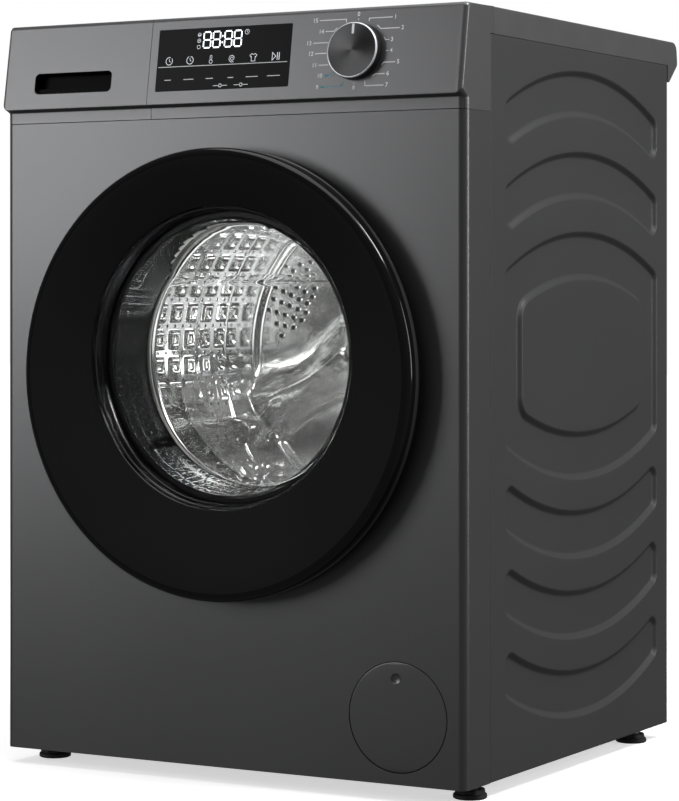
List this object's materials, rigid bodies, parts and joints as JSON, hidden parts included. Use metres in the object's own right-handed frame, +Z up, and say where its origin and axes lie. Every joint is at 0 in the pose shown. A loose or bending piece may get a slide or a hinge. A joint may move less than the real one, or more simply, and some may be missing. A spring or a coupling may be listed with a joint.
{
  "type": "front load washing machine",
  "caption": "Free-standing front-loading washing machine with a round porthole door, detergent drawer, sloping control panel with display and dial, and sprung tub and drum.",
  "frame": {"origin": "on the floor under the middle of the whole machine's footprint", "axes": "+Z up, the door faces -Y, +X to the right seen from the front"},
  "size_m": [0.595, 0.608, 0.85],
  "materials": {
    "side_paint": "metallic satin",
    "front_paint": "metallic satin",
    "zinc_steel": "zinc plated",
    "top_laminate": "laminated board, satin grey",
    "fascia_grey": "metallic lacquer",
    "black_glass": "high gloss",
    "circuit_board": "solder mask",
    "black_plastic": "fine texture",
    "white_plastic": "moulded",
    "door_black": "gloss",
    "door_clear": "clear",
    "stainless": "brushed",
    "cast_alloy": "as cast",
    "counterweight_iron": "cast",
    "rubber_grey": "soft",
    "rubber_black": "matt",
    "dial_metal": "turned, brushed"
  },
  "bodies": {
    "cabinet": {"base_tray": "side_paint", "left_side_panel": "side_paint", "right_side_panel": "side_paint", "front_panel": "front_paint", "rear_panel": "side_paint", "rear_access_cover": "zinc_steel", "transit_plugs": "black_plastic", "worktop": "top_laminate", "top_braces": "zinc_steel", "control_fascia": "fascia_grey", "display_window": "black_glass", "display_board": "circuit_board", "control_board": "black_plastic", "dispenser_box": "white_plastic", "inlet_valve": "black_plastic", "door_lock": "black_plastic", "door_hinge_bracket": "zinc_steel", "door_hinge_pin": "zinc_steel", "pump_housing": "black_plastic", "drain_hose": "rubber_black", "rear_glands": "black_plastic", "cabinet_fasteners": "zinc_steel", "damper_cylinders": "zinc_steel", "suspension_springs": "zinc_steel", "sump_hose": "rubber_black", "dispenser_hose": "rubber_black"},
    "tub": {"tub_front_shell": "white_plastic", "tub_rear_shell": "white_plastic", "tub_screws": "zinc_steel", "front_counterweight": "counterweight_iron", "top_counterweight": "counterweight_iron", "drum_bearings": "zinc_steel", "heater": "zinc_steel", "motor_housing": "black_plastic", "drive_belt": "rubber_black", "damper_rods": "zinc_steel", "door_gasket": "rubber_grey"},
    "drum": {"drum_shell": "stainless", "drum_back": "stainless", "drum_lifters": "stainless", "drum_spider": "cast_alloy", "drum_shaft": "zinc_steel", "drum_pulley": "cast_alloy"},
    "motor_rotor": {"motor_pulley": "zinc_steel"},
    "door": {"door_ring": "door_black", "door_frame": "door_black", "door_glass": "door_clear", "door_hinge_leaf": "zinc_steel"},
    "latch": {"door_latch_hook": "black_plastic"},
    "drawer": {"drawer_front": "fascia_grey", "drawer_tray": "white_plastic"},
    "dial": {"dial_knob": "dial_metal"},
    "flap": {"filter_flap": "front_paint"},
    "filter": {"pump_filter": "black_plastic"},
    "impeller": {"pump_impeller": "black_plastic"},
    "foot_fl": {"foot_front_left": "rubber_black"},
    "foot_fr": {"foot_front_right": "rubber_black"},
    "foot_rl": {"foot_rear_left": "rubber_black"},
    "foot_rr": {"foot_rear_right": "rubber_black"}
  },
  "joints": [
    {"name": "door_hinge", "type": "hinge", "parent": "cabinet", "child": "door", "pos_m": [-0.234, -0.288, 0.453], "axis": [0, 0, -1], "range_deg": [0, 130]},
    {"name": "latch_tilt", "type": "hinge", "parent": "door", "child": "latch", "pos_m": [0.213, -0.2742, 0.453], "axis": [0, 0, -1], "range_deg": [0, 8], "stiffness_Nm_per_rad": 0.5, "springref_deg": -5.73},
    {"name": "drawer_slide", "type": "slide", "parent": "cabinet", "child": "drawer", "axis": [0, -1, 0], "range_m": [0, 0.26]},
    {"name": "dial_turn", "type": "hinge", "parent": "cabinet", "child": "dial", "pos_m": [0.1668, -0.27152, 0.8014], "axis": [0, -0.9883, 0.1528], "continuous": true},
    {"name": "tub_bounce", "type": "slide", "parent": "cabinet", "child": "tub", "axis": [0, 0, 1], "range_m": [-0.008, 0.008], "stiffness_N_per_m": 60000, "springref_m": 0.01, "deforming": ["suspension_springs", "sump_hose", "dispenser_hose"]},
    {"name": "drum_spin", "type": "hinge", "parent": "tub", "child": "drum", "pos_m": [0, 0, 0.471], "axis": [0, 1, 0], "continuous": true},
    {"name": "motor_spin", "type": "hinge", "parent": "tub", "child": "motor_rotor", "pos_m": [0, 0, 0.125], "axis": [0, 1, 0], "continuous": true},
    {"name": "impeller_spin", "type": "hinge", "parent": "cabinet", "child": "impeller", "pos_m": [0.216, -0.165, 0.09], "axis": [0, 1, 0], "continuous": true},
    {"name": "filter_turn", "type": "hinge", "parent": "cabinet", "child": "filter", "pos_m": [0.216, -0.239, 0.09], "axis": [0, -1, 0], "range_deg": [0, 90]},
    {"name": "flap_pull", "type": "slide", "parent": "cabinet", "child": "flap", "axis": [0, -1, 0], "range_m": [0, 0.03]},
    {"name": "foot_front_left_adjust", "type": "slide", "parent": "cabinet", "child": "foot_fl", "axis": [0, 0, -1], "range_m": [0, 0.015]},
    {"name": "foot_front_right_adjust", "type": "slide", "parent": "cabinet", "child": "foot_fr", "axis": [0, 0, -1], "range_m": [0, 0.015]},
    {"name": "foot_rear_left_adjust", "type": "slide", "parent": "cabinet", "child": "foot_rl", "axis": [0, 0, -1], "range_m": [0, 0.015]},
    {"name": "foot_rear_right_adjust", "type": "slide", "parent": "cabinet", "child": "foot_rr", "axis": [0, 0, -1], "range_m": [0, 0.015]}
  ],
  "couplings": [
    {"joint": "motor_spin", "follows": "drum_spin", "ratio": 12.083}
  ]
}
